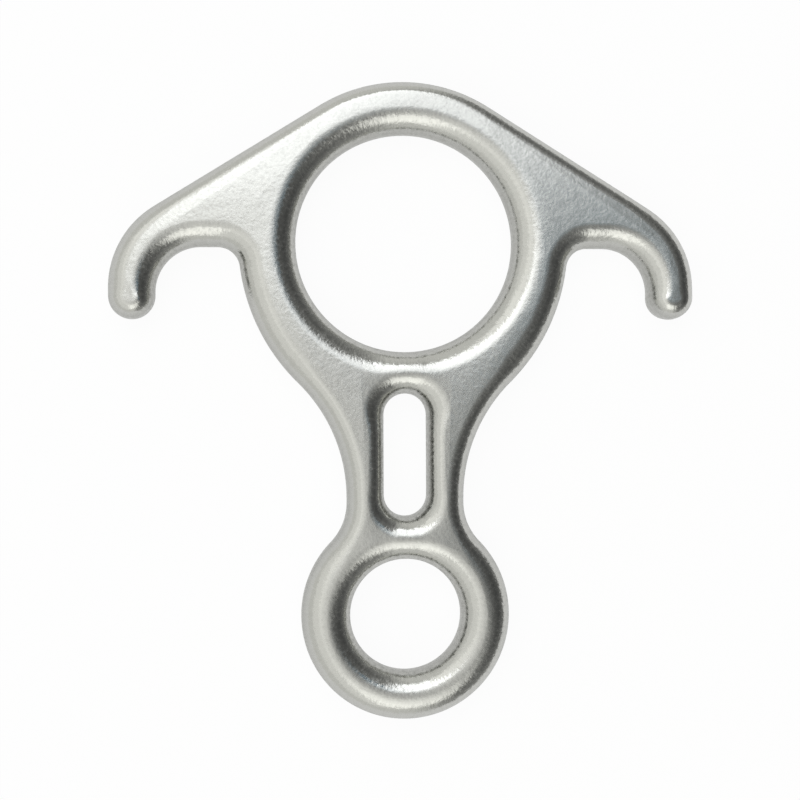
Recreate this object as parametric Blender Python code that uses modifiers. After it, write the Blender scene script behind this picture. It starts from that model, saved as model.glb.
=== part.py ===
"""Rescue figure eight descender: one steel forging that lies flat on its back face.

Plan, seen from +Z: a large rope ring with a hooked ear on each side, a waisted neck with an oblong
slot, and a small eye for the carabiner. All lengths are in metres. The outline is drawn in a plan whose
origin is the middle of the large bore, +Y towards the top of the ring. The finished body is moved so
that its origin is the middle of the base of its bounding box.

Every edge has the forged section: a narrow upright land where the flash was trimmed, a drafted wall
above it, and a quarter ellipse up to the flat face. The ellipse's width changes along the outline, and is
never more than the widest circle that the metal has room for at that place. A wide ellipse takes nearly
all of the height, and below a narrow one more of the wall is left.
"""

import math

import bmesh
import bpy
import numpy as np

MM = 0.001

# Thickness of the forging, and the trimmed land at mid-thickness
THICKNESS = 13.0 * MM
LAND_HEIGHT = 1.0 * MM

# Height of a rounding for each unit of its width, where it has the room, and the wall below it
ROUNDNESS = 1.15
LEAST_WALL = 0.1 * MM
WALL_DRAFT = math.radians(7.0)

# Large rope ring
BORE_RADIUS = 28.6 * MM
RING_WALL_TOP = 13.7 * MM
FLANK_RADIUS = 51.6 * MM
FLANK_WALL = 14.9 * MM
FLANK_RISE = 0.2 * MM

# Hooked ears, each measured from the ring outwards
ROOF_DROP = 1.1 * MM
ROOT_RADIUS = 5.8 * MM
ROOF_STRAIGHT = 4.2 * MM
CORNER_RADIUS = 11.9 * MM
HOOK_WIDTH = 12.1 * MM
HOOK_REACH = 0.9 * MM
SHOULDER_RADIUS = 25.0 * MM
SHOULDER_RISE = 2.0 * MM

# Neck and its slot
NECK_WIDTH = 30.8 * MM
NECK_STRAIGHT = 1.3 * MM
SLOT_WIDTH = 11.3 * MM
SLOT_LENGTH = 32.2 * MM
SLOT_SPACING = 55.6 * MM

# Small eye
EYE_SPACING = 97.6 * MM
EYE_BORE_RADIUS = 14.6 * MM
EYE_WALL = 12.8 * MM
EYE_FILLET_RADIUS = 14.9 * MM

# Width of the rounding of each stretch of edge, on plan
BORE_ROUNDING = 7.0 * MM
CROWN_ROUNDING = 4.1 * MM
SHOULDER_ROUNDING = 4.9 * MM
HOOK_OUTER_ROUNDING = 5.8 * MM
HOOK_TIP_ROUNDING = 4.2 * MM
HOOK_INNER_ROUNDING = 6.4 * MM
FLANK_ROUNDING = 6.6 * MM
NECK_ROUNDING = 5.0 * MM
EYE_ROUNDING = 6.4 * MM
SLOT_ROUNDING = 4.4 * MM
SLOT_END_ROUNDING = 6.4 * MM

# Flat left between two roundings that meet, and the length over which a rounding's width changes
CREST = 0.4 * MM
ROUNDING_BLEND = 7.0 * MM

# Fineness of the faceted body
CHORD_ERROR = 0.05 * MM
LONGEST_STEP = 5.0 * MM
SECTION_STEPS = 5

STEEL_COLOUR = (0.56, 0.56, 0.55, 1.0)
STEEL_ROUGHNESS = 0.3

METAL_INSIDE = 1.0
METAL_OUTSIDE = -1.0


def clear_scene():
    """Remove every object, so that the body is alone."""
    for item in list(bpy.data.objects):
        bpy.data.objects.remove(item, do_unlink=True)


def arc(centre, radius, start, end, metal, rounding):
    """Stations along an arc: rows of x, y, outward normal x and y, rounding width."""
    widest_turn = 2 * math.acos(1 - min(CHORD_ERROR / radius, 1))
    steps = max(2, math.ceil(abs(end - start) / widest_turn))
    angles = np.linspace(start, end, steps + 1)
    across, up = np.cos(angles), np.sin(angles)
    return np.column_stack([
        centre[0] + radius * across,
        centre[1] + radius * up,
        metal * across,
        metal * up,
        np.full(steps + 1, rounding),
    ])


def line(start, end, rounding):
    """Stations along a straight run that has the metal on its left, ends included."""
    start, end = np.array(start), np.array(end)
    length = np.linalg.norm(end - start)
    steps = max(1, math.ceil(length / LONGEST_STEP))
    along = (end - start) / length
    places = start + np.linspace(0, 1, steps + 1)[:, None] * (end - start)
    normals = np.tile([along[1], -along[0]], (steps + 1, 1))
    return np.column_stack([places, normals, np.full(steps + 1, rounding)])


def chain(*runs):
    """Join runs end to end, with one station where two of them meet."""
    kept = [runs[0]]
    for run in runs[1:]:
        gap = np.linalg.norm(run[0, :2] - kept[-1][-1, :2])
        kept.append(run[1:] if gap < 0.01 * MM else run)
    return np.vstack(kept)


def angle_of(vector):
    """Angle of a plan vector, anticlockwise from +X."""
    return math.atan2(vector[1], vector[0])


def outer_chain():
    """Right half of the outer outline, from the foot of the eye up to the top of the ring."""
    eye = np.array([0.0, -EYE_SPACING])
    eye_outer = EYE_BORE_RADIUS + EYE_WALL
    half_neck = NECK_WIDTH / 2
    ring_top = BORE_RADIUS + RING_WALL_TOP
    flank = np.array([BORE_RADIUS + FLANK_WALL - FLANK_RADIUS, FLANK_RISE])

    # The fillet above the eye touches the eye's circle and the side of the neck
    fillet_x = half_neck + EYE_FILLET_RADIUS
    fillet_y = eye[1] + math.sqrt((eye_outer + EYE_FILLET_RADIUS) ** 2 - fillet_x ** 2)
    fillet = np.array([fillet_x, fillet_y])

    # The long hollow of the neck touches its side and the flank of the ring
    waist_y = fillet_y + NECK_STRAIGHT
    reach = half_neck - flank[0]
    drop = waist_y - flank[1]
    hollow_radius = (reach ** 2 + drop ** 2 - FLANK_RADIUS ** 2) / (2 * (FLANK_RADIUS - reach))
    hollow = np.array([half_neck + hollow_radius, waist_y])

    # The root of the hook touches the flank and the level roof of the hook
    root_y = -ROOF_DROP - ROOT_RADIUS
    root_x = flank[0] + math.sqrt((FLANK_RADIUS + ROOT_RADIUS) ** 2 - (root_y - flank[1]) ** 2)
    root = np.array([root_x, root_y])

    # From there the hook's own widths give its corner, its tip and its shoulder
    corner = np.array([root_x + ROOF_STRAIGHT, -ROOF_DROP - CORNER_RADIUS])
    inner_x = corner[0] + CORNER_RADIUS
    outer_x = inner_x + HOOK_WIDTH
    tip = np.array([(inner_x + outer_x) / 2, corner[1] - HOOK_REACH])
    shoulder = np.array([outer_x - SHOULDER_RADIUS, tip[1] + SHOULDER_RISE])

    # The straight top of the ear touches both the shoulder and the top of the ring
    lean = math.asin((SHOULDER_RADIUS - ring_top) / np.linalg.norm(shoulder))
    slope_normal = angle_of(shoulder) + math.pi / 2 + lean
    slope = np.array([math.cos(slope_normal), math.sin(slope_normal)])

    right, up = 0.0, math.pi / 2
    left, down = math.pi, -math.pi / 2
    eye_to_fillet = angle_of(fillet - eye)
    flank_to_hollow = angle_of(hollow - flank)
    flank_to_root = angle_of(root - flank)
    return chain(
        arc(eye, eye_outer, down, eye_to_fillet, METAL_INSIDE, EYE_ROUNDING),
        arc(fillet, EYE_FILLET_RADIUS, eye_to_fillet + left, left, METAL_OUTSIDE, NECK_ROUNDING),
        line((half_neck, fillet_y), (half_neck, waist_y), NECK_ROUNDING),
        arc(hollow, hollow_radius, left, flank_to_hollow + left, METAL_OUTSIDE, NECK_ROUNDING),
        arc(flank, FLANK_RADIUS, flank_to_hollow, flank_to_root, METAL_INSIDE, FLANK_ROUNDING),
        arc(root, ROOT_RADIUS, flank_to_root + left, up, METAL_OUTSIDE, HOOK_INNER_ROUNDING),
        line((root_x, -ROOF_DROP), (corner[0], -ROOF_DROP), HOOK_INNER_ROUNDING),
        arc(corner, CORNER_RADIUS, up, right, METAL_OUTSIDE, HOOK_INNER_ROUNDING),
        line((inner_x, corner[1]), (inner_x, tip[1]), HOOK_INNER_ROUNDING),
        arc(tip, HOOK_WIDTH / 2, -left, right, METAL_INSIDE, HOOK_TIP_ROUNDING),
        line((outer_x, tip[1]), (outer_x, shoulder[1]), HOOK_OUTER_ROUNDING),
        arc(shoulder, SHOULDER_RADIUS, right, slope_normal, METAL_INSIDE, SHOULDER_ROUNDING),
        line(shoulder + SHOULDER_RADIUS * slope, ring_top * slope, CROWN_ROUNDING),
        arc((0, 0), ring_top, slope_normal, up, METAL_INSIDE, CROWN_ROUNDING),
    )


def bore_chain():
    """Right half of the large bore, from its top to its foot."""
    return arc((0, 0), BORE_RADIUS, math.pi / 2, -math.pi / 2, METAL_OUTSIDE, BORE_ROUNDING)


def slot_chain():
    """Right half of the slot, from its top to its foot."""
    end_radius = SLOT_WIDTH / 2
    half_straight = SLOT_LENGTH / 2 - end_radius
    top = (0.0, half_straight - SLOT_SPACING)
    foot = (0.0, -half_straight - SLOT_SPACING)
    return chain(
        arc(top, end_radius, math.pi / 2, 0, METAL_OUTSIDE, SLOT_END_ROUNDING),
        line((end_radius, top[1]), (end_radius, foot[1]), SLOT_ROUNDING),
        arc(foot, end_radius, 0, -math.pi / 2, METAL_OUTSIDE, SLOT_END_ROUNDING),
    )


def eye_chain():
    """Right half of the eye's bore, from its top to its foot."""
    centre = (0, -EYE_SPACING)
    return arc(centre, EYE_BORE_RADIUS, math.pi / 2, -math.pi / 2, METAL_OUTSIDE, EYE_ROUNDING)


def room_for_rounding(stations, others):
    """Radius of the widest circle that touches the outline at each station and stays in the metal."""
    away = others[None, :, :2] - stations[:, None, :2]
    inward = -(away * stations[:, None, 2:4]).sum(axis=2)
    distance = (away ** 2).sum(axis=2)
    faces_metal = inward > 0.01 * MM
    radii = np.where(faces_metal, distance / (2 * np.where(faces_metal, inward, 1)), np.inf)
    return radii.min(axis=1)


def smoothed(widths, stations):
    """Average the widths over ROUNDING_BLEND along a chain, which goes on as its mirror image."""
    steps = np.linalg.norm(np.diff(stations[:, :2], axis=0), axis=1)
    along = np.concatenate([[0], np.cumsum(steps)])
    total = along[-1]
    far = np.concatenate([-along[:0:-1], along, 2 * total - along[-2::-1]])
    wide = np.concatenate([widths[:0:-1], widths, widths[-2::-1]])
    area = np.concatenate([[0], np.cumsum(np.diff(far) * (wide[1:] + wide[:-1]) / 2)])
    half = min(ROUNDING_BLEND, total) / 2
    return (np.interp(along + half, far, area) - np.interp(along - half, far, area)) / (2 * half)


def fit_roundings(chains):
    """Limit every rounding to the metal beside it, and let its width change gently."""
    stations = np.vstack(chains)
    mirrored = stations * [-1, 1, -1, 1, 1]
    others = np.vstack([stations, mirrored])
    fitted = []
    for part in chains:
        room = room_for_rounding(part, others) - CREST / 2
        widths = smoothed(np.minimum(part[:, 4], room), part)
        part = part.copy()
        part[:, 4] = np.minimum(widths, room)
        part[[0, -1], 0] = 0
        fitted.append(part)
    return fitted


def section_rows(stations):
    """Rows of points from mid-thickness up to the flat face, one row for each step of the section."""
    rise = (THICKNESS - LAND_HEIGHT) / 2
    width = stations[:, 4]
    arc_height = np.minimum(ROUNDNESS * width, rise - LEAST_WALL)
    wall = rise - arc_height
    lean = wall * math.tan(WALL_DRAFT)
    none = np.zeros(len(stations))
    steps = [(none, none), (none, none + LAND_HEIGHT / 2)]
    for index in range(SECTION_STEPS + 1):
        turn = index / SECTION_STEPS * math.pi / 2
        inset = lean + (width - lean) * (1 - math.cos(turn))
        steps.append((inset, LAND_HEIGHT / 2 + wall + arc_height * math.sin(turn)))
    rows = []
    for inset, height in steps:
        plan = stations[:, :2] - stations[:, 2:4] * inset[:, None]
        rows.append(np.column_stack([plan, height]))
    return rows


def quarter_mesh(name, chains):
    """Loft the rims of the half plan above mid-thickness and close them with the flat face."""
    shape = bmesh.new()
    rim = []
    for stations in chains:
        below = None
        for row in section_rows(stations):
            above = [shape.verts.new(point) for point in row]
            if below:
                for index in range(len(row) - 1):
                    shape.faces.new((below[index], below[index + 1], above[index + 1], above[index]))
            below = above
        rim.extend(below)
    shape.faces.new(rim)
    for face in shape.faces:
        face.smooth = True
    mesh = bpy.data.meshes.new(name)
    shape.to_mesh(mesh)
    shape.free()
    return mesh


def mirror_body(body):
    """Complete the body across its centre line and across mid-thickness."""
    mirror = body.modifiers.new("both_halves", "MIRROR")
    mirror.use_axis = (True, False, True)
    mirror.use_mirror_merge = True
    mirror.merge_threshold = 0.001 * MM


def forged_steel():
    """Bare forged steel with a satin shine."""
    material = bpy.data.materials.new("forged_steel")
    material.use_nodes = True
    shader = material.node_tree.nodes["Principled BSDF"]
    shader.inputs["Base Color"].default_value = STEEL_COLOUR
    shader.inputs["Metallic"].default_value = 1.0
    shader.inputs["Roughness"].default_value = STEEL_ROUGHNESS
    material.diffuse_color = STEEL_COLOUR
    return material


def build_body(collection):
    """The whole descender, standing on its back face with its origin under the middle of its box."""
    chains = fit_roundings([outer_chain(), bore_chain(), slot_chain(), eye_chain()])
    body = bpy.data.objects.new("descender_body", quarter_mesh("descender_body", chains))
    body.data.materials.append(forged_steel())
    mirror_body(body)
    top = chains[0][:, 1].max()
    foot = chains[0][:, 1].min()
    body.location = (0, -(top + foot) / 2, THICKNESS / 2)
    collection.objects.link(body)
    return body


def main():
    clear_scene()
    collection = bpy.data.collections.new("figure_eight_descender")
    bpy.context.scene.collection.children.link(collection)
    build_body(collection)


main()
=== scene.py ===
"""Dresses the rescue descender: its forged body, its steel finish, the studio light and the camera.

The frame holds one node, the forged body, made of coarse flats. The same body is modelled here again from
the same sizes, finely enough for a polished surface, and takes that node's place. It is drawn as half of
its outline, raised in rows to half of its thickness, rounded, closed with its flat face and mirrored.
Lengths are in metres. The plan's own origin is the middle of the large bore.
"""

import logging
import math
from dataclasses import dataclass, field
from enum import Enum
from typing import Sequence, Union

import bmesh
import bpy
import numpy as np
from mathutils import Euler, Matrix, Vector
from mathutils.kdtree import KDTree

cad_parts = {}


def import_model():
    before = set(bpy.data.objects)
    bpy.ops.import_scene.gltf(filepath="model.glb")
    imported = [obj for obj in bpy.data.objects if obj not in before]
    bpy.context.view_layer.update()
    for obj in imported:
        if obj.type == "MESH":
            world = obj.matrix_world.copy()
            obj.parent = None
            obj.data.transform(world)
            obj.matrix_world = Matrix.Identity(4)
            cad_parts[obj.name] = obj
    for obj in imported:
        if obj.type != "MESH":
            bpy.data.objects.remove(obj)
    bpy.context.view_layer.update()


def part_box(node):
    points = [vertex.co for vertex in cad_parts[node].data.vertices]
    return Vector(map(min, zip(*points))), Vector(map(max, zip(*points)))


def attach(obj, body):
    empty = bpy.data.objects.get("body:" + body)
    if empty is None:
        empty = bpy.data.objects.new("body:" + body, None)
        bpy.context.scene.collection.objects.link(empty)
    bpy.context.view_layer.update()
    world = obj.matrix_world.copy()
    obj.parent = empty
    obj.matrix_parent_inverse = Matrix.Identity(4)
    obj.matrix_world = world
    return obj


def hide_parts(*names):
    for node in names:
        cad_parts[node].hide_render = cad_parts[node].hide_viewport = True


LOG = logging.getLogger("descender")

MM = 0.001
UP = math.pi / 2
LEFT = math.pi
DOWN = -math.pi / 2
RIGHT = 0.0

BODY_NODE = "descender_body"
RIM_PLACE = "rim_place"

# Height of each row of the rim before it is moved to its place on the section
ROW_STEP = MM

# Size of the loop that is merged into the first point of a run
SEED_SIZE = 0.1 * MM

# Points nearer than this are the same point
SAME_PLACE = 0.001 * MM

SHADER = "Principled BSDF"

Number = Union[float, "Value"]
Point = Sequence[float]


class Metal(Enum):
    """The side of an arc on which the metal lies."""

    INSIDE = 1.0
    OUTSIDE = -1.0


@dataclass(frozen=True)
class Fineness:
    """How closely the modelled outline follows its true curves.

    Attributes:
        chord_error: Largest gap between a curve and the facets that stand for it.
        longest_step: Longest facet along a straight stretch.
    """

    chord_error: float = 0.003 * MM
    longest_step: float = 1.5 * MM


FINENESS = Fineness()


@dataclass(frozen=True)
class Arc:
    """A round stretch of the outline.

    Attributes:
        centre: Middle of the arc on plan.
        radius: Radius of the arc.
        start: Angle of its first point, anticlockwise from +X.
        end: Angle of its last point.
        metal: Side on which the metal lies.
        rounding: Width on plan of the rounding of its edge.
    """

    centre: Point
    radius: float
    start: float
    end: float
    metal: Metal
    rounding: float

    def steps(self) -> int:
        """Number of facets along the arc."""
        turn = 2 * math.acos(1 - min(FINENESS.chord_error / self.radius, 1))
        return max(4, math.ceil(abs(self.end - self.start) / turn))

    def stations(self) -> np.ndarray:
        """Places along the arc.

        Returns:
            Rows of x, y, outward normal x and y, and rounding width.
        """
        angles = np.linspace(self.start, self.end, self.steps() + 1)
        radial = np.column_stack([np.cos(angles), np.sin(angles)])
        places = np.array(self.centre) + self.radius * radial
        widths = np.full((len(angles), 1), self.rounding)
        return np.hstack([places, self.metal.value * radial, widths])

    def draw(self) -> None:
        """Spin the selected point along the arc."""
        bpy.ops.mesh.spin(
            steps=self.steps(),
            angle=self.start - self.end,
            center=(self.centre[0], self.centre[1], 0),
            axis=(0, 0, 1),
        )


@dataclass(frozen=True)
class Straight:
    """A straight stretch of the outline, with the metal on its left.

    Attributes:
        start: First point on plan.
        end: Last point on plan.
        rounding: Width on plan of the rounding of its edge.
    """

    start: Point
    end: Point
    rounding: float

    def steps(self) -> int:
        """Number of facets along the stretch."""
        length = np.linalg.norm(np.subtract(self.end, self.start))
        return max(1, math.ceil(length / FINENESS.longest_step))

    def stations(self) -> np.ndarray:
        """Places along the stretch.

        Returns:
            Rows of x, y, outward normal x and y, and rounding width.
        """
        start, run = np.array(self.start), np.subtract(self.end, self.start)
        share = np.linspace(0, 1, self.steps() + 1)[:, None]
        along = run / np.linalg.norm(run)
        normals = np.tile([along[1], -along[0]], (len(share), 1))
        widths = np.full((len(share), 1), self.rounding)
        return np.hstack([start + share * run, normals, widths])

    def draw(self) -> None:
        """Extrude the selected point along the stretch."""
        step = np.subtract(self.end, self.start) / self.steps()
        for _ in range(self.steps()):
            bpy.ops.mesh.extrude_region_move(
                TRANSFORM_OT_translate={"value": (step[0], step[1], 0)}
            )


Stretch = Union[Arc, Straight]


def angle_of(vector: Point) -> float:
    """Angle of a plan vector, anticlockwise from +X."""
    return math.atan2(vector[1], vector[0])


@dataclass(frozen=True)
class RopeRing:
    """The large ring that the rope runs through.

    Attributes:
        bore_radius: Radius of the large bore.
        wall_top: Metal between the bore and the top of the ring.
        flank_radius: Radius of the ring's outer side, below the ears.
        flank_wall: Metal between the bore and that side, level with the bore.
        flank_rise: Height of that side's centre above the bore's.
        bore_rounding: Width of the bore's rounding.
        flank_rounding: Width of the rounding of the outer side.
        crown_rounding: Width of the rounding over the top of the ring.
    """

    bore_radius: float = 28.6 * MM
    wall_top: float = 13.7 * MM
    flank_radius: float = 51.6 * MM
    flank_wall: float = 14.9 * MM
    flank_rise: float = 0.2 * MM
    bore_rounding: float = 7.0 * MM
    flank_rounding: float = 6.6 * MM
    crown_rounding: float = 4.1 * MM

    @property
    def top_radius(self) -> float:
        """Radius of the ring's outer edge at its top."""
        return self.bore_radius + self.wall_top

    @property
    def flank(self) -> np.ndarray:
        """Centre of the outer side's arc."""
        across = self.bore_radius + self.flank_wall - self.flank_radius
        return np.array([across, self.flank_rise])

    def bore(self) -> list[Stretch]:
        """Right half of the bore, from its top to its foot."""
        return [Arc((0, 0), self.bore_radius, UP, DOWN, Metal.OUTSIDE, self.bore_rounding)]

    def crown(self, slope: float) -> list[Stretch]:
        """The top of the ring, from where an ear's straight top ends.

        Args:
            slope: Angle of the straight top's outward normal.

        Returns:
            The stretch from there to the middle of the top.
        """
        return [Arc((0, 0), self.top_radius, slope, UP, Metal.INSIDE, self.crown_rounding)]


@dataclass(frozen=True)
class HookedEar:
    """One ear: a plate that slopes off the ring and ends in a hook.

    Attributes:
        ring: The ring that carries the ear.
        roof_drop: Depth of the hook's level roof below the bore's centre.
        root_radius: Radius of the corner between the ring and the roof.
        roof_straight: Length of the level roof.
        corner_radius: Radius inside the hook's bend.
        hook_width: Width of the hook's bar.
        hook_reach: Straight length inside the hook, above its round end.
        shoulder_radius: Radius outside the hook's bend.
        shoulder_rise: Straight length outside the hook, above its round end.
        tip_rounding: Width of the rounding round the hook's end.
        inner_rounding: Width of the rounding inside the hook.
        shoulder_rounding: Width of the rounding round the outside of the bend.
        outer_rounding: Width of the rounding along the hook's outer side.
    """

    ring: RopeRing
    roof_drop: float = 1.1 * MM
    root_radius: float = 5.8 * MM
    roof_straight: float = 4.2 * MM
    corner_radius: float = 11.9 * MM
    hook_width: float = 12.1 * MM
    hook_reach: float = 0.9 * MM
    shoulder_radius: float = 25.0 * MM
    shoulder_rise: float = 2.0 * MM
    tip_rounding: float = 4.2 * MM
    inner_rounding: float = 6.4 * MM
    shoulder_rounding: float = 4.9 * MM
    outer_rounding: float = 5.8 * MM

    @property
    def root(self) -> np.ndarray:
        """Centre of the corner where the roof leaves the ring.

        Returns:
            The point on plan.
        """
        flank = self.ring.flank
        down = -self.roof_drop - self.root_radius
        touching = self.ring.flank_radius + self.root_radius
        across = flank[0] + math.sqrt(touching ** 2 - (down - flank[1]) ** 2)
        return np.array([across, down])

    @property
    def outer_side(self) -> float:
        """Distance of the hook's outer side from the centre line."""
        return self.root[0] + self.roof_straight + self.corner_radius + self.hook_width

    def stretches(self) -> list[Stretch]:
        """The ear's outline, from its root on the ring, round the hook and back up to the ring.

        Returns:
            The stretches in order.
        """
        root = self.root
        corner = np.array([root[0] + self.roof_straight, -self.roof_drop - self.corner_radius])
        inner = corner[0] + self.corner_radius
        outer = self.outer_side
        tip = np.array([(inner + outer) / 2, corner[1] - self.hook_reach])
        shoulder = np.array([outer - self.shoulder_radius, tip[1] + self.shoulder_rise])
        slope = self.slope(shoulder)
        normal = np.array([math.cos(slope), math.sin(slope)])
        from_ring = angle_of(root - self.ring.flank) + LEFT
        roof = -self.roof_drop
        return [
            Arc(root, self.root_radius, from_ring, UP, Metal.OUTSIDE, self.inner_rounding),
            Straight((root[0], roof), (corner[0], roof), self.inner_rounding),
            Arc(corner, self.corner_radius, UP, RIGHT, Metal.OUTSIDE, self.inner_rounding),
            Straight((inner, corner[1]), (inner, tip[1]), self.inner_rounding),
            Arc(tip, self.hook_width / 2, -LEFT, RIGHT, Metal.INSIDE, self.tip_rounding),
            Straight((outer, tip[1]), (outer, shoulder[1]), self.outer_rounding),
            Arc(shoulder, self.shoulder_radius, RIGHT, slope, Metal.INSIDE,
                self.shoulder_rounding),
            Straight(
                shoulder + self.shoulder_radius * normal,
                self.ring.top_radius * normal,
                self.ring.crown_rounding,
            ),
            *self.ring.crown(slope),
        ]

    def slope(self, shoulder: np.ndarray) -> float:
        """Angle of the outward normal of the ear's straight top.

        Args:
            shoulder: Centre of the bend's outer arc.

        Returns:
            The angle at which one line touches both that arc and the top of the ring.
        """
        difference = self.shoulder_radius - self.ring.top_radius
        lean = math.asin(difference / np.linalg.norm(shoulder))
        return angle_of(shoulder) + UP + lean


@dataclass(frozen=True)
class CarabinerEye:
    """The small ring that the carabiner goes through.

    Attributes:
        spacing: Distance from the large bore's centre to the eye's.
        bore_radius: Radius of the eye's bore.
        wall: Metal round that bore.
        rounding: Width of the roundings on both edges of the eye.
    """

    spacing: float = 97.6 * MM
    bore_radius: float = 14.6 * MM
    wall: float = 12.8 * MM
    rounding: float = 6.4 * MM

    @property
    def centre(self) -> np.ndarray:
        """Centre of the eye on plan."""
        return np.array([0.0, -self.spacing])

    @property
    def outer_radius(self) -> float:
        """Radius of the eye's outer edge."""
        return self.bore_radius + self.wall

    def bore(self) -> list[Stretch]:
        """Right half of the eye's bore, from its top to its foot."""
        return [Arc(self.centre, self.bore_radius, UP, DOWN, Metal.OUTSIDE, self.rounding)]


@dataclass(frozen=True)
class SlottedNeck:
    """The waisted neck between the ring and the eye, and the slot in it.

    Attributes:
        ring: The ring above the neck.
        eye: The eye below it.
        width: Width of the neck at its waist.
        straight: Straight length at the waist.
        fillet_radius: Radius of the corner between the neck and the eye.
        slot_width: Width of the slot.
        slot_length: Length of the slot.
        slot_spacing: Distance from the large bore's centre to the slot's.
        rounding: Width of the rounding of the neck's sides.
        slot_rounding: Width of the rounding along the slot.
        slot_end_rounding: Width of the rounding at the slot's ends.
    """

    ring: RopeRing
    eye: CarabinerEye
    width: float = 30.8 * MM
    straight: float = 1.3 * MM
    fillet_radius: float = 14.9 * MM
    slot_width: float = 11.3 * MM
    slot_length: float = 32.2 * MM
    slot_spacing: float = 55.6 * MM
    rounding: float = 5.0 * MM
    slot_rounding: float = 4.4 * MM
    slot_end_rounding: float = 6.4 * MM

    def side(self, root: np.ndarray) -> list[Stretch]:
        """Right side of the outline, from the foot of the eye up to the root of the ear.

        Args:
            root: Centre of the corner where the ear leaves the ring.

        Returns:
            The stretches in order.
        """
        eye, ring, half = self.eye, self.ring, self.width / 2
        across = half + self.fillet_radius
        touching = eye.outer_radius + self.fillet_radius
        fillet = np.array([across, eye.centre[1] + math.sqrt(touching ** 2 - across ** 2)])
        waist = fillet[1] + self.straight
        reach = half - ring.flank[0]
        drop = waist - ring.flank[1]
        excess = reach ** 2 + drop ** 2 - ring.flank_radius ** 2
        hollow_radius = excess / (2 * (ring.flank_radius - reach))
        hollow = np.array([half + hollow_radius, waist])
        to_fillet = angle_of(fillet - eye.centre)
        to_hollow = angle_of(hollow - ring.flank)
        to_root = angle_of(root - ring.flank)
        return [
            Arc(eye.centre, eye.outer_radius, DOWN, to_fillet, Metal.INSIDE, eye.rounding),
            Arc(fillet, self.fillet_radius, to_fillet + LEFT, LEFT, Metal.OUTSIDE, self.rounding),
            Straight((half, fillet[1]), (half, waist), self.rounding),
            Arc(hollow, hollow_radius, LEFT, to_hollow + LEFT, Metal.OUTSIDE, self.rounding),
            Arc(ring.flank, ring.flank_radius, to_hollow, to_root, Metal.INSIDE,
                ring.flank_rounding),
        ]

    def slot(self) -> list[Stretch]:
        """Right half of the slot, from its top to its foot.

        Returns:
            The stretches in order.
        """
        end = self.slot_width / 2
        half_straight = self.slot_length / 2 - end
        top = (0.0, half_straight - self.slot_spacing)
        foot = (0.0, -half_straight - self.slot_spacing)
        return [
            Arc(top, end, UP, RIGHT, Metal.OUTSIDE, self.slot_end_rounding),
            Straight((end, top[1]), (end, foot[1]), self.slot_rounding),
            Arc(foot, end, RIGHT, DOWN, Metal.OUTSIDE, self.slot_end_rounding),
        ]


class Outline:
    """One open run of the half plan, from the centre line back to the centre line."""

    def __init__(self, stretches: Sequence[Stretch]) -> None:
        """Take the stretches in order and list their stations.

        Args:
            stretches: The arcs and straights, each starting where the last one ends.
        """
        self.stretches = list(stretches)
        rows = [self.stretches[0].stations()]
        rows += [stretch.stations()[1:] for stretch in self.stretches[1:]]
        self.stations = np.vstack(rows)
        self.stations[[0, -1], 0] = 0

    def lengths(self) -> np.ndarray:
        """Length along the run of each station."""
        steps = np.linalg.norm(np.diff(self.stations[:, :2], axis=0), axis=1)
        return np.concatenate([[0], np.cumsum(steps)])

    def draw(self) -> None:
        """Add the run's edges to the mesh that is being edited."""
        start = self.stations[0]
        bpy.ops.mesh.select_all(action="DESELECT")
        bpy.ops.mesh.primitive_circle_add(
            vertices=3, radius=SEED_SIZE, fill_type="NOTHING", location=(start[0], start[1], 0)
        )
        bpy.ops.mesh.merge(type="CENTER")
        for stretch in self.stretches:
            stretch.draw()

    def room(self, others: np.ndarray) -> np.ndarray:
        """How wide a rounding the metal beside each station has room for.

        Args:
            others: Stations of the whole plan.

        Returns:
            The radius of the widest circle that touches the outline there and stays in the metal.
        """
        away = others[None, :, :2] - self.stations[:, None, :2]
        inward = -(away * self.stations[:, None, 2:4]).sum(axis=2)
        distance = (away ** 2).sum(axis=2)
        faces_metal = inward > 10 * SAME_PLACE
        radii = np.where(faces_metal, distance / (2 * np.where(faces_metal, inward, 1)), np.inf)
        return radii.min(axis=1)

    def ease(self, room: np.ndarray, blend: float) -> None:
        """Limit the rounding widths to their room and let them change gently.

        Args:
            room: The widest rounding at each station.
            blend: Length over which a width changes.
        """
        widths = np.minimum(self.stations[:, 4], room)
        for _ in range(2):
            widths = self.averaged(widths, blend)
        self.stations[:, 4] = np.minimum(widths, room)

    def averaged(self, widths: np.ndarray, blend: float) -> np.ndarray:
        """Average over a length of the run, which goes on past its ends as its mirror image.

        Args:
            widths: One value for each station.
            blend: Length of the average.

        Returns:
            The averaged values.
        """
        along = self.lengths()
        far = np.concatenate([-along[:0:-1], along, 2 * along[-1] - along[-2::-1]])
        wide = np.concatenate([widths[:0:-1], widths, widths[-2::-1]])
        area = np.concatenate([[0], np.cumsum(np.diff(far) * (wide[1:] + wide[:-1]) / 2)])
        half = min(blend, along[-1]) / 2
        return (np.interp(along + half, far, area) - np.interp(along - half, far, area)) / (2 * half)


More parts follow.
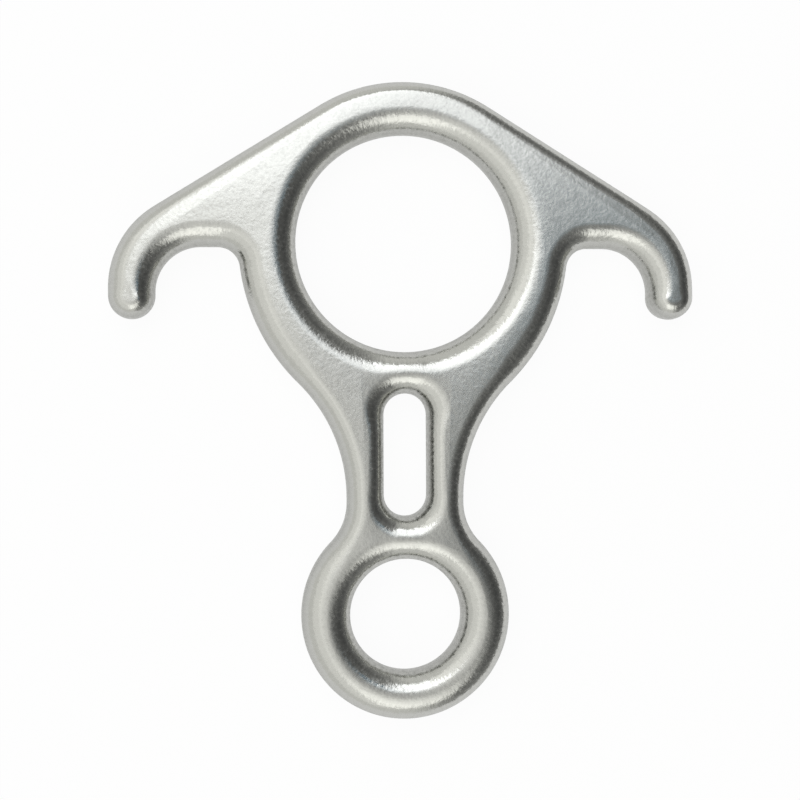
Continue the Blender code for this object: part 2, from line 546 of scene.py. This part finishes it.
class Value:
    """A number in a material. Arithmetic on it adds Math nodes."""

    def __init__(self, recipe: "Recipe", socket: bpy.types.NodeSocket) -> None:
        """Wrap an output socket of a material's node."""
        self.recipe = recipe
        self.socket = socket

    def math(self, operation: str, *others: Number, clamp: bool = False) -> "Value":
        """Add a Math node.

        Args:
            operation: Blender's name of the operation.
            others: The operands that follow this one.
            clamp: Whether the result is kept between 0 and 1.

        Returns:
            The result.
        """
        values = {index: value for index, value in enumerate((self, *others))}
        settings = {"operation": operation, "use_clamp": clamp}
        return self.recipe.value("ShaderNodeMath", settings, values)

    def reflected(self, operation: str, other: Number) -> "Value":
        """Add a Math node with this value as its second operand."""
        return self.recipe.value("ShaderNodeMath", {"operation": operation}, {0: other, 1: self})

    def __add__(self, other: Number) -> "Value":
        """Sum."""
        return self.math("ADD", other)

    def __radd__(self, other: Number) -> "Value":
        """Sum with a plain number first."""
        return self.math("ADD", other)

    def __sub__(self, other: Number) -> "Value":
        """Difference."""
        return self.math("SUBTRACT", other)

    def __rsub__(self, other: Number) -> "Value":
        """Difference with a plain number first."""
        return self.reflected("SUBTRACT", other)

    def __mul__(self, other: Number) -> "Value":
        """Product."""
        return self.math("MULTIPLY", other)

    def __rmul__(self, other: Number) -> "Value":
        """Product with a plain number first."""
        return self.math("MULTIPLY", other)

    def __truediv__(self, other: Number) -> "Value":
        """Quotient."""
        return self.math("DIVIDE", other)

    def __rtruediv__(self, other: Number) -> "Value":
        """Quotient with a plain number first."""
        return self.reflected("DIVIDE", other)

    def __pow__(self, other: Number) -> "Value":
        """Power."""
        return self.math("POWER", other)

    def ramp(self, low: float, high: float) -> "Value":
        """Rise smoothly from 0 at low to 1 at high.

        Args:
            low: Where the rise starts.
            high: Where it ends, which may lie below low.

        Returns:
            The eased share.
        """
        inputs = {"Value": self, "From Min": low, "From Max": high}
        return self.recipe.value("ShaderNodeMapRange", {"interpolation_type": "SMOOTHSTEP"}, inputs)


class Recipe:
    """The nodes of one material, or of the surroundings, and the means to add to them."""

    def __init__(self, owner: Union[bpy.types.Material, bpy.types.World]) -> None:
        """Start with the owner's own shader and output.

        Args:
            owner: A new material or world.
        """
        owner.use_nodes = True
        self.tree = owner.node_tree

    def shader_input(self, shader: str, name: str) -> bpy.types.NodeSocket:
        """An input of one of the nodes that the owner starts with."""
        return self.tree.nodes[shader].inputs[name]

    def node(self, kind: str, settings: dict, inputs: dict) -> bpy.types.Node:
        """Add a node.

        Args:
            kind: Blender's type of the node.
            settings: The node's own settings, by name.
            inputs: Numbers, colours, values or sockets, by the input's name or index.

        Returns:
            The node.
        """
        made = self.tree.nodes.new(kind)
        for name, setting in settings.items():
            setattr(made, name, setting)
        for key, given in inputs.items():
            self.feed(made.inputs[key], given)
        return made

    def feed(self, socket: bpy.types.NodeSocket, given: object) -> None:
        """Link a value or socket to an input, or set the input to a constant.

        Args:
            socket: The input.
            given: A value, a socket, a number or a colour.
        """
        if isinstance(given, Value):
            given = given.socket
        if isinstance(given, bpy.types.NodeSocket):
            self.tree.links.new(given, socket)
        else:
            socket.default_value = given

    def value(self, kind: str, settings: dict, inputs: dict, output: object = 0) -> Value:
        """Add a node and wrap one of its outputs as a number."""
        return Value(self, self.node(kind, settings, inputs).outputs[output])

    def mixed(self, share: Number, first: object, second: object) -> bpy.types.NodeSocket:
        """Mix two colours.

        Args:
            share: How much of the second colour.
            first: Colour or socket at share 0.
            second: Colour or socket at share 1.

        Returns:
            The mixed colour's socket.
        """
        inputs = {0: share, 6: first, 7: second}
        return self.node("ShaderNodeMix", {"data_type": "RGBA"}, inputs).outputs[2]


@dataclass(frozen=True)
class ForgedSteel:
    """Bare forged steel: blasted flat faces, polished roundings and duller, rougher upright sides whose
    colour carries painted shade.

    Attributes:
        colour: Reflected colour of the metal.
        flat_facing: Range of the normal's upward share over which a rounding becomes flat face.
        side_facing: Range of that share over which a rounding becomes upright side.
        flat_roughness: Roughness of the blasted faces.
        polish_roughness: Roughness of the polished roundings.
        side_painted_shade: Share of the colour that the upright sides keep. This is painted shade,
            standing in for the darker, shadowed floor that the sides reflect.
        side_roughness: Roughness of the upright sides.
        grain_size: Spacing of the blasted grain.
        grain_depth: Height of the grain on the flat faces.
        rim_grain_depth: Height of the grain on the roundings.
        rim_mottling: Roughness that the full height of the grain adds on the roundings.
        grain_shade: Share of the colour that the grain's pits lose.
        pit_levels: Range of the grain's height over which it sinks into a pit.
        rim_pits: Strength of the pits on the roundings, of that on the flat faces.
        pebble_size: Spacing of the broader unevenness under the grain.
        pebble_depth: Height of that unevenness.
        patch_size: Spacing of the broad patches in the finish.
        patch_shade: Share of the colour that the patches lose.
        patch_roughness: Roughness that the patches add.
        line_spacing: Spacing of the polishing lines along a rim.
        line_length: Length of the lines across the rim, of their spacing.
        line_depth: Height of the polishing lines.
        line_shade: Share of the colour that the lines lose.
    """

    colour: tuple[float, float, float] = (0.56, 0.562, 0.534)
    flat_facing: tuple[float, float] = (0.95, 0.995)
    side_facing: tuple[float, float] = (0.75, 0.25)
    flat_roughness: float = 0.26
    polish_roughness: float = 0.19
    side_painted_shade: float = 0.82
    side_roughness: float = 0.40
    grain_size: float = 0.85 * MM
    grain_depth: float = 0.0234 * MM
    rim_grain_depth: float = 0.0572 * MM
    rim_mottling: float = 0.6
    grain_shade: float = 0.07
    pit_levels: tuple[float, float] = (0.52, 0.3)
    rim_pits: float = 0.25
    pebble_size: float = 3.0357 * MM
    pebble_depth: float = 0.04 * MM
    patch_size: float = 16.667 * MM
    patch_shade: float = 0.06
    patch_roughness: float = 0.08
    line_spacing: float = 0.55 * MM
    line_length: float = 16.667
    line_depth: float = 0.022 * MM
    line_shade: float = 0.14

    def material(self) -> bpy.types.Material:
        """Build the material.

        Returns:
            The finished material.
        """
        steel = bpy.data.materials.new("forged_steel")
        recipe = Recipe(steel)
        where = recipe.node("ShaderNodeTexCoord", {}, {}).outputs
        normal = recipe.node("ShaderNodeSeparateXYZ", {}, {0: where["Normal"]}).outputs
        facing = Value(recipe, normal["Z"]).math("ABSOLUTE")
        flat = facing.ramp(*self.flat_facing)
        side = facing.ramp(*self.side_facing)
        grain = self.noise(recipe, where["Object"], self.grain_size, 2.0)
        pebble = self.noise(recipe, where["Object"], self.pebble_size, 2.0)
        patches = self.noise(recipe, where["Object"], self.patch_size, 4.0)
        lines = self.lines(recipe)
        height = grain * (self.rim_grain_depth - flat * (self.rim_grain_depth - self.grain_depth))
        height = height + pebble * flat * self.pebble_depth
        height = height + lines * (1 - flat) * self.line_depth
        bump = recipe.node("ShaderNodeBump", {}, {"Height": height, "Distance": 1.0, "Strength": 1.0})
        pits = grain.ramp(*self.pit_levels) * (flat * (1 - self.rim_pits) + self.rim_pits)
        kept = (1 - pits * self.grain_shade) * (1 - patches * self.patch_shade)
        # Painted shade: the upright sides' colour is darkened to stand in for the shadowed floor that
        # they reflect.
        kept = kept * (1 - side * (1 - self.side_painted_shade)) * (1 - lines * self.line_shade)
        shades = recipe.mixed(kept, (0, 0, 0, 1), (*self.colour, 1))
        roughness = flat * (self.flat_roughness - self.polish_roughness) + self.polish_roughness
        roughness = roughness + side * (self.side_roughness - self.polish_roughness)
        roughness = roughness + (patches - 0.5) * self.patch_roughness
        roughness = roughness + (grain - 0.5) * (1 - flat) * self.rim_mottling
        recipe.feed(recipe.shader_input(SHADER, "Base Color"), shades)
        recipe.feed(recipe.shader_input(SHADER, "Metallic"), 1.0)
        recipe.feed(recipe.shader_input(SHADER, "Roughness"), roughness)
        recipe.feed(recipe.shader_input(SHADER, "Normal"), bump.outputs["Normal"])
        return steel

    def noise(
        self, recipe: Recipe, place: bpy.types.NodeSocket, size: float, detail: float
    ) -> Value:
        """Add a noise texture of a given spacing over the body's own coordinates."""
        inputs = {"Vector": place, "Scale": 1 / size, "Detail": detail}
        return recipe.value("ShaderNodeTexNoise", {}, inputs)

    def lines(self, recipe: Recipe) -> Value:
        """Fine polishing lines, which run up the roundings across the rim.

        Args:
            recipe: The material's nodes.

        Returns:
            The lines' height, from 0 to 1.
        """
        rim = recipe.node("ShaderNodeAttribute", {"attribute_name": RIM_PLACE}, {}).outputs["Vector"]
        stretch = (1 / self.line_spacing, 1 / (self.line_spacing * self.line_length), 1.0)
        spread = recipe.node("ShaderNodeVectorMath", {"operation": "MULTIPLY"}, {0: rim, 1: stretch})
        inputs = {"Vector": spread.outputs[0], "Scale": 1.0, "Detail": 3.0}
        return recipe.value("ShaderNodeTexNoise", {}, inputs)


@dataclass
class ForgedBody:
    """The whole forging: ring, ears, neck and eye in one piece of steel.

    Attributes:
        thickness: Thickness of the forging.
        top: Height of the plan's highest point above the frame's origin, along Y.
        ring: The rope ring.
        eye: The carabiner eye.
        land_height: Height of the upright land at mid-thickness.
        crest: Flat left between two roundings that meet.
        blend: Length over which a rounding's width changes.
        roundness: Height of a rounding for each unit of its width, where it has the room.
        draft: Lean of the wall that is left below a narrow rounding, in degrees.
        least_wall: Height of the wall that even the highest rounding leaves.
        section_steps: Rows of a rounding, from its foot up to the flat face.
        ear: The ear on either side.
        neck: The neck and its slot.
        outlines: The outer outline, the large bore, the slot and the eye's bore.
    """

    thickness: float
    top: float
    ring: RopeRing = field(default_factory=RopeRing)
    eye: CarabinerEye = field(default_factory=CarabinerEye)
    land_height: float = 1.0 * MM
    crest: float = 0.3 * MM
    blend: float = 5.0 * MM
    roundness: float = 1.15
    draft: float = 7.0
    least_wall: float = 0.1 * MM
    section_steps: int = 14
    ear: HookedEar = field(init=False)
    neck: SlottedNeck = field(init=False)
    outlines: list[Outline] = field(init=False)

    def __post_init__(self) -> None:
        """Work out the outline's runs from the sub-assemblies' sizes."""
        self.ear = HookedEar(self.ring)
        self.neck = SlottedNeck(self.ring, self.eye)
        outer = [*self.neck.side(self.ear.root), *self.ear.stretches()]
        runs = (outer, self.ring.bore(), self.neck.slot(), self.eye.bore())
        self.outlines = [Outline(run) for run in runs]
        stations = np.vstack([outline.stations for outline in self.outlines])
        others = np.vstack([stations, stations * [-1, 1, -1, 1, 1]])
        for outline in self.outlines:
            outline.ease(outline.room(others) - self.crest / 2, self.blend)

    def model(self, name: str) -> bpy.types.Object:
        """Model the body.

        Args:
            name: Name of the object.

        Returns:
            The finished object, with its place in its mesh.
        """
        bpy.ops.object.select_all(action="DESELECT")
        bpy.ops.mesh.primitive_circle_add(vertices=3, radius=SEED_SIZE, fill_type="NOTHING")
        body = bpy.context.object
        body.name = body.data.name = name
        bpy.ops.object.mode_set(mode="EDIT")
        bpy.ops.mesh.select_all(action="SELECT")
        bpy.ops.mesh.delete(type="VERT")
        for outline in self.outlines:
            outline.draw()
        self.raise_rim()
        bpy.ops.object.mode_set(mode="OBJECT")
        self.round_rim(body.data)
        self.close_face(body)
        self.mirror(body)
        bpy.ops.object.shade_smooth()
        return body

    def section(self, width: float) -> list[tuple[float, float]]:
        """The edge's profile, from mid-thickness up to the flat face.

        Args:
            width: Width of the rounding on plan.

        Returns:
            Inset from the outline and height above mid-thickness of each row.
        """
        foot = self.land_height / 2
        rise = self.thickness / 2 - foot
        arc = min(self.roundness * width, rise - self.least_wall)
        lean = (rise - arc) * math.tan(math.radians(self.draft))
        rows = [(0.0, 0.0), (0.0, foot)]
        for index in range(self.section_steps + 1):
            turn = index / self.section_steps * UP
            inset = lean + (width - lean) * (1 - math.cos(turn))
            rows.append((inset, foot + rise - arc + arc * math.sin(turn)))
        return rows

    def raise_rim(self) -> None:
        """Extrude the drawn outline upwards, one row at a time."""
        bpy.ops.mesh.select_all(action="SELECT")
        for _ in self.section(self.land_height)[1:]:
            bpy.ops.mesh.extrude_edges_move(TRANSFORM_OT_translate={"value": (0, 0, ROW_STEP)})

    def round_rim(self, mesh: bpy.types.Mesh) -> None:
        """Move every row of the rim inwards and to its height on the forged section.

        Each vertex also keeps its place along and across the rim, for the polishing lines.

        Args:
            mesh: The raised rim, whose rows are one row step apart.
        """
        stations = np.vstack([outline.stations for outline in self.outlines])
        nearest = KDTree(len(stations))
        for index, station in enumerate(stations):
            nearest.insert((station[0], station[1], 0), index)
        nearest.balance()
        sections = [self.section(width) for width in stations[:, 4]]
        lengths = np.concatenate([outline.lengths() for outline in self.outlines])
        places = mesh.attributes.new(RIM_PLACE, "FLOAT_VECTOR", "POINT")
        for vertex in mesh.vertices:
            _, index, _ = nearest.find((vertex.co.x, vertex.co.y, 0))
            across, along, out_x, out_y, _ = stations[index]
            inset, height = sections[index][round(vertex.co.z / ROW_STEP)]
            vertex.co = (across - out_x * inset, along - out_y * inset, height)
            places.data[vertex.index].vector = (lengths[index], inset + height, 0)

    def close_face(self, body: bpy.types.Object) -> None:
        """Fill the flat face inside the top row, up to the centre line.

        Args:
            body: The rounded rim of the half plan.
        """
        bpy.ops.object.mode_set(mode="EDIT")
        mesh = bmesh.from_edit_mesh(body.data)
        top = self.thickness / 2 - 10 * SAME_PLACE
        ends = sorted(
            (vertex for vertex in mesh.verts if vertex.co.z > top and abs(vertex.co.x) < SAME_PLACE),
            key=lambda vertex: vertex.co.y,
        )
        for lower, upper in zip(ends[::2], ends[1::2]):
            bpy.ops.mesh.select_all(action="DESELECT")
            lower.select = upper.select = True
            bpy.ops.mesh.edge_face_add()
        bpy.ops.mesh.select_all(action="DESELECT")
        for edge in mesh.edges:
            edge.select_set(all(vertex.co.z > top for vertex in edge.verts))
        bpy.ops.mesh.edge_face_add()
        bpy.ops.object.mode_set(mode="OBJECT")

    def mirror(self, body: bpy.types.Object) -> None:
        """Complete the body across its centre line and mid-thickness, and put it in its place.

        Args:
            body: The half plan above mid-thickness.
        """
        halves = body.modifiers.new("both_halves", "MIRROR")
        halves.use_axis = (True, False, True)
        halves.merge_threshold = SAME_PLACE
        bpy.ops.object.modifier_apply(modifier=halves.name)
        bpy.ops.object.mode_set(mode="EDIT")
        bpy.ops.mesh.select_all(action="SELECT")
        bpy.ops.mesh.normals_make_consistent(inside=False)
        bpy.ops.object.mode_set(mode="OBJECT")
        body.location = (0, self.top - self.ring.top_radius, self.thickness / 2)
        bpy.ops.object.transform_apply(location=True, rotation=True, scale=True)

    def dress(self, body: bpy.types.Object) -> None:
        """Give the body its finish and put it in the node's place.

        Args:
            body: The finished object.
        """
        body.data.materials.append(ForgedSteel().material())
        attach(body, "root")
        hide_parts(BODY_NODE)


def direction(azimuth: float, elevation: float) -> Vector:
    """Direction seen from the object.

    Args:
        azimuth: Degrees anticlockwise from +X.
        elevation: Degrees above the floor.

    Returns:
        The vector of length 1.
    """
    turn, rise = math.radians(azimuth), math.radians(elevation)
    return Vector((math.cos(turn) * math.cos(rise), math.sin(turn) * math.cos(rise), math.sin(rise)))


@dataclass(frozen=True)
class SoftBox:
    """One soft studio lamp.

    Attributes:
        name: Name of the lamp.
        azimuth: Direction of the lamp from the object, anticlockwise from +X, in degrees.
        elevation: Height of that direction above the floor, in degrees.
        distance: Distance from the object.
        width: Width of the lamp.
        height: Height of the lamp.
        radiance: Brightness of its face.
        colour: Tint of its light.
    """

    name: str
    azimuth: float
    elevation: float
    distance: float
    width: float
    height: float
    radiance: float
    colour: tuple[float, float, float] = (1.0, 1.0, 1.0)

    def light(self) -> bpy.types.Object:
        """Add the lamp, facing the object.

        Returns:
            The lamp's object.
        """
        data = bpy.data.lights.new(self.name, "AREA")
        data.shape = "RECTANGLE"
        data.size = self.width
        data.size_y = self.height
        data.energy = self.radiance * math.pi * self.width * self.height
        data.color = self.colour
        lamp = bpy.data.objects.new(self.name, data)
        bpy.context.scene.collection.objects.link(lamp)
        towards = direction(self.azimuth, self.elevation)
        lamp.location = towards * self.distance
        lamp.rotation_euler = towards.to_track_quat("Z", "Y").to_euler()
        lamp.visible_camera = False
        return lamp


@dataclass(frozen=True)
class Tent:
    """The white tent round the object, which is open to the darker room on one side.

    Attributes:
        azimuth: Direction in which the tent is brightest, anticlockwise from +X, in degrees.
        elevation: Height of that direction, in degrees.
        dim_until: Cosine of the angle from there at which the tent starts to brighten.
        bright_from: Cosine of the angle at which it is at its brightest.
        gap_across: Range of the direction's +X share over which the low gap on that side opens.
        gap_height: Range of its +Z share over which the gap closes again.
        gap_depth: Share of the light that the gap takes away.
        room: Brightness of the open side.
        cloth: Brightness of the tent's lit cloth.
        horizon: Height of the white strip above the horizon, as the sine of its elevation.
    """

    azimuth: float = 184.0
    elevation: float = -51.0
    dim_until: float = -1.2
    bright_from: float = -0.27
    gap_across: tuple[float, float] = (0.1, 0.5)
    gap_height: tuple[float, float] = (0.78, 0.5)
    gap_depth: float = 0.6
    room: tuple[float, float, float] = (0.02, 0.022, 0.025)
    cloth: tuple[float, float, float] = (0.89, 0.89, 0.86)
    horizon: float = 0.012

    def surround(self) -> bpy.types.World:
        """Build the surroundings.

        Returns:
            The world.
        """
        world = bpy.data.worlds.new("studio")
        recipe = Recipe(world)
        seen = recipe.node("ShaderNodeTexCoord", {}, {}).outputs["Generated"]
        brightest = direction(self.azimuth, self.elevation)
        towards = recipe.value(
            "ShaderNodeVectorMath", {"operation": "DOT_PRODUCT"}, {0: seen, 1: brightest}, "Value"
        )
        shares = recipe.node("ShaderNodeSeparateXYZ", {}, {0: seen}).outputs
        across, height = Value(recipe, shares["X"]), Value(recipe, shares["Z"])
        gap = across.ramp(*self.gap_across) * height.ramp(*self.gap_height)
        lit = towards.ramp(self.dim_until, self.bright_from) * (1 - gap * self.gap_depth)
        tent = recipe.mixed(lit, (*self.room, 1), (*self.cloth, 1))
        strip = height.ramp(2 * self.horizon, self.horizon) * (1 - gap)
        low = strip.math("MAXIMUM", height.ramp(0.0, -0.001))
        whole = recipe.mixed(low, tent, (1, 1, 1, 1))
        recipe.feed(recipe.shader_input("Background", "Color"), whole)
        recipe.feed(recipe.shader_input("Background", "Strength"), 1.0)
        return world


@dataclass
class Studio:
    """The floor, the soft lamps, the tent and the camera.

    Attributes:
        lamps: The lamps round the object.
        tent: The surroundings.
        floor_size: Length of the floor's sides.
        paper_glow: Share of the paper's white that doesn't depend on the light.
        camera_distance: Distance of the camera from the object's middle.
        camera_lean: Lean of the line of sight from the upright, towards -X, in degrees.
        camera_roll: Turn of the camera about its line of sight, in degrees.
        camera_shift: Pixels that the camera stands right of and above the object's middle.
        pixel: Length on the object that one pixel of the picture covers.
        picture: Width of the picture, in pixels.
    """

    lamps: Sequence[SoftBox]
    tent: Tent = field(default_factory=Tent)
    floor_size: float = 80.0
    paper_glow: float = 0.94
    camera_distance: float = 0.40
    camera_lean: float = 4.96
    camera_roll: float = -0.21
    camera_shift: tuple[float, float] = (-4.6, 0.55)
    pixel: float = 0.2637 * MM
    picture: int = 800

    def floor(self) -> bpy.types.Object:
        """Lay the white floor.

        Returns:
            The floor.
        """
        bpy.ops.mesh.primitive_plane_add(size=self.floor_size, location=(0, 0, -0.02 * MM))
        floor = bpy.context.object
        floor.name = "floor"
        floor.data.materials.append(self.paper())
        return floor

    def paper(self) -> bpy.types.Material:
        """White paper that shows white to the camera and in the metal, and keeps some shadow.

        Returns:
            The finished material.
        """
        paper = bpy.data.materials.new("white_paper")
        recipe = Recipe(paper)
        recipe.feed(recipe.shader_input(SHADER, "Base Color"), (0.9, 0.9, 0.9, 1))
        recipe.feed(recipe.shader_input(SHADER, "Roughness"), 1.0)
        recipe.feed(recipe.shader_input(SHADER, "Specular IOR Level"), 0.0)
        rays = recipe.node("ShaderNodeLightPath", {}, {}).outputs
        seen = Value(recipe, rays["Is Camera Ray"])
        for ray in ("Is Glossy Ray", "Is Transmission Ray"):
            seen = seen.math("MAXIMUM", Value(recipe, rays[ray]))
        glow = recipe.node("ShaderNodeEmission", {}, {"Color": (1, 1, 1, 1), "Strength": 1.0})
        lit = recipe.tree.nodes[SHADER].outputs[0]
        inputs = {0: seen * self.paper_glow, 1: lit, 2: glow.outputs[0]}
        shown = recipe.node("ShaderNodeMixShader", {}, inputs).outputs[0]
        recipe.feed(recipe.shader_input("Material Output", "Surface"), shown)
        return paper

    def camera(self, middle_height: float) -> bpy.types.Object:
        """Look down on the object, as the photograph does.

        Args:
            middle_height: Height of the object's mid-thickness, where a pixel has its length.

        Returns:
            The camera.
        """
        data = bpy.data.cameras.new("camera")
        data.lens = self.camera_distance * data.sensor_width / (self.picture * self.pixel)
        camera = bpy.data.objects.new("camera", data)
        bpy.context.scene.collection.objects.link(camera)
        lean = Euler((0, -math.radians(self.camera_lean), 0)).to_matrix()
        roll = Euler((0, 0, math.radians(self.camera_roll))).to_matrix()
        axes = lean @ roll
        across, up = (shift * self.pixel for shift in self.camera_shift)
        place = axes @ Vector((across, up, self.camera_distance))
        camera.location = place + Vector((0, 0, middle_height))
        camera.rotation_euler = axes.to_euler()
        bpy.context.scene.camera = camera
        return camera

    def build(self, middle_height: float) -> None:
        """Set the studio up round the object.

        Args:
            middle_height: Height of the object's mid-thickness.
        """
        scene = bpy.context.scene
        scene.view_settings.view_transform = "Standard"
        scene.world = self.tent.surround()
        self.floor()
        for lamp in self.lamps:
            lamp.light()
        self.camera(middle_height)


LAMPS = (
    SoftBox("key", 89.3, 63.1, 1.1, 0.52, 0.76, 1.85, (0.98, 1.0, 1.04)),
    SoftBox("foot", 279, 48.4, 1.1, 0.67, 0.76, 0.60, (1.0, 1.0, 0.96)),
    SoftBox("overhead_left", 205, 60, 0.7, 1.81, 0.84, 0.21, (1.01, 1.0, 0.98)),
    SoftBox("overhead", 205, 77, 0.7, 1.81, 0.45, 0.29, (1.01, 1.0, 0.98)),
    SoftBox("window", 24.5, 71.4, 0.71, 0.14, 0.20, 0.24, (0.35, 0.7, 1.0)),
)


def main() -> None:
    """Build the dressed body and its studio."""
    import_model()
    low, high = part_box(BODY_NODE)
    maker = ForgedBody(thickness=high[2] - low[2], top=high[1])
    body = maker.model("forged_body")
    maker.dress(body)
    LOG.info("%s: %d faces", body.name, len(body.data.polygons))
    Studio(LAMPS).build((low[2] + high[2]) / 2)


if __name__ == "__main__":
    logging.basicConfig(level=logging.INFO)
    main()
